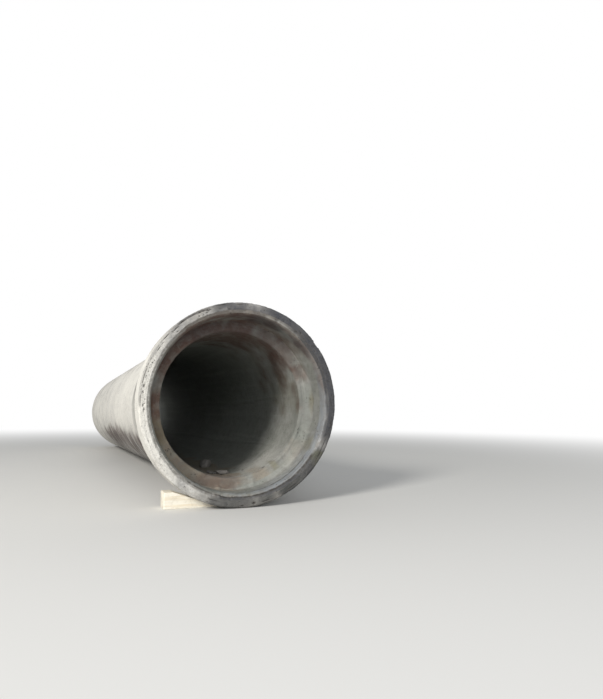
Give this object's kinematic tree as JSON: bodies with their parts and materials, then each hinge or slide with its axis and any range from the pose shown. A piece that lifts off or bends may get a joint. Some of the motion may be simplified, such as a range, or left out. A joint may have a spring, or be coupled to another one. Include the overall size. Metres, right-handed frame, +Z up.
{
  "type": "concrete culvert pipe",
  "caption": "Long round concrete pipe with a flared bell socket at one end and a plain spigot at the other, lying on a small timber wedge, for carrying water under a road.",
  "frame": {"origin": "centre of the bounding box at floor level, below the middle of the pipe", "axes": "+Y from the bell towards the spigot, +Z up, +X to the right as seen looking into the bell; the pipe's own axis runs 0.92 degrees down towards the spigot, because the bell lifts it"},
  "size_m": [1.0598, 5.0148, 1.0618],
  "materials": {
    "concrete": "rough cast concrete, weathered and stained",
    "timber": "sawn softwood, unpainted"
  },
  "bodies": {
    "root": {"pipe": "concrete", "chock": "timber"}
  },
  "joints": []
}
